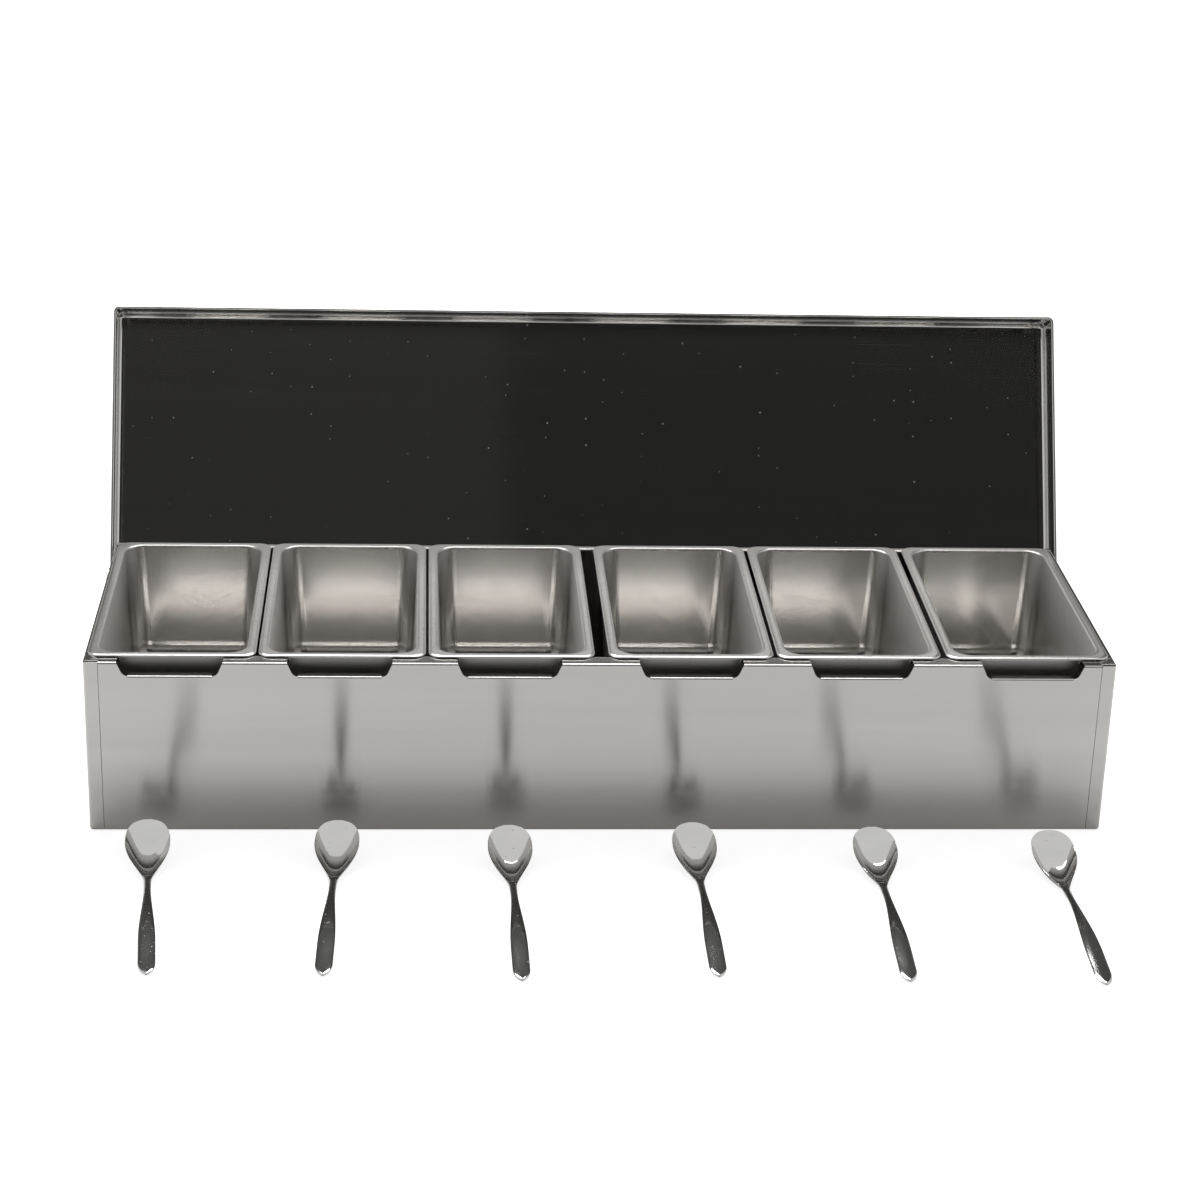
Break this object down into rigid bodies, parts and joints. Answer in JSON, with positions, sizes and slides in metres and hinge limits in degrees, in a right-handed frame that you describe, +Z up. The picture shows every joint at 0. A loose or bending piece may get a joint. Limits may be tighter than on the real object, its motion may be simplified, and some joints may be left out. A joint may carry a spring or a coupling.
{
  "type": "ingredient box",
  "caption": "Long stainless steel ingredient box with lift-out pans side by side, a hinged cover standing open and small spoons laid in front.",
  "frame": {"origin": "middle of the housing's underside, on the table", "axes": "+X along the box to the right as seen from the front, +Y from the front panel to the rear, +Z up"},
  "size_m": [0.535, 0.4034, 0.2144],
  "materials": {
    "brushed": "brushed along the box",
    "mirror": "bright rolled sheet with fine scratches",
    "satin": "satin, deep drawn",
    "polished": "polished stainless steel",
    "rivet": "plain"
  },
  "bodies": {
    "housing": {"housing_wrap": "brushed", "end_plate_left": "brushed", "end_plate_right": "brushed", "hinge_pin_left": "rivet", "hinge_pin_right": "rivet", "hinge_spacer_left": "rivet", "hinge_spacer_right": "rivet", "hinge_backing_left": "rivet", "hinge_backing_right": "rivet"},
    "cover": {"cover": "mirror"},
    "pan_1": {"pan_1": "satin"},
    "pan_2": {"pan_2": "satin"},
    "pan_3": {"pan_3": "satin"},
    "pan_4": {"pan_4": "satin"},
    "pan_5": {"pan_5": "satin"},
    "pan_6": {"pan_6": "satin"},
    "spoon_1": {"spoon_1": "polished"},
    "spoon_2": {"spoon_2": "polished"},
    "spoon_3": {"spoon_3": "polished"},
    "spoon_4": {"spoon_4": "polished"},
    "spoon_5": {"spoon_5": "polished"},
    "spoon_6": {"spoon_6": "polished"}
  },
  "joints": [
    {"name": "cover_hinge", "type": "hinge", "parent": "housing", "child": "cover", "pos_m": [0, 0.0685, 0.077], "axis": [-1, 0, 0], "range_deg": [-117, 0]},
    {"name": "pan_1_lift", "type": "slide", "parent": "housing", "child": "pan_1", "axis": [0, 0, 1], "range_m": [0, 0.1]},
    {"name": "pan_2_lift", "type": "slide", "parent": "housing", "child": "pan_2", "axis": [0, 0, 1], "range_m": [0, 0.1]},
    {"name": "pan_3_lift", "type": "slide", "parent": "housing", "child": "pan_3", "axis": [0, 0, 1], "range_m": [0, 0.1]},
    {"name": "pan_4_lift", "type": "slide", "parent": "housing", "child": "pan_4", "axis": [0, 0, 1], "range_m": [0, 0.1]},
    {"name": "pan_5_lift", "type": "slide", "parent": "housing", "child": "pan_5", "axis": [0, 0, 1], "range_m": [0, 0.1]},
    {"name": "pan_6_lift", "type": "slide", "parent": "housing", "child": "pan_6", "axis": [0, 0, 1], "range_m": [0, 0.1]},
    {"name": "spoon_1_lift", "type": "slide", "parent": "housing", "child": "spoon_1", "axis": [0, 0, 1], "range_m": [0, 0.1]},
    {"name": "spoon_2_lift", "type": "slide", "parent": "housing", "child": "spoon_2", "axis": [0, 0, 1], "range_m": [0, 0.1]},
    {"name": "spoon_3_lift", "type": "slide", "parent": "housing", "child": "spoon_3", "axis": [0, 0, 1], "range_m": [0, 0.1]},
    {"name": "spoon_4_lift", "type": "slide", "parent": "housing", "child": "spoon_4", "axis": [0, 0, 1], "range_m": [0, 0.1]},
    {"name": "spoon_5_lift", "type": "slide", "parent": "housing", "child": "spoon_5", "axis": [0, 0, 1], "range_m": [0, 0.1]},
    {"name": "spoon_6_lift", "type": "slide", "parent": "housing", "child": "spoon_6", "axis": [0, 0, 1], "range_m": [0, 0.1]}
  ]
}
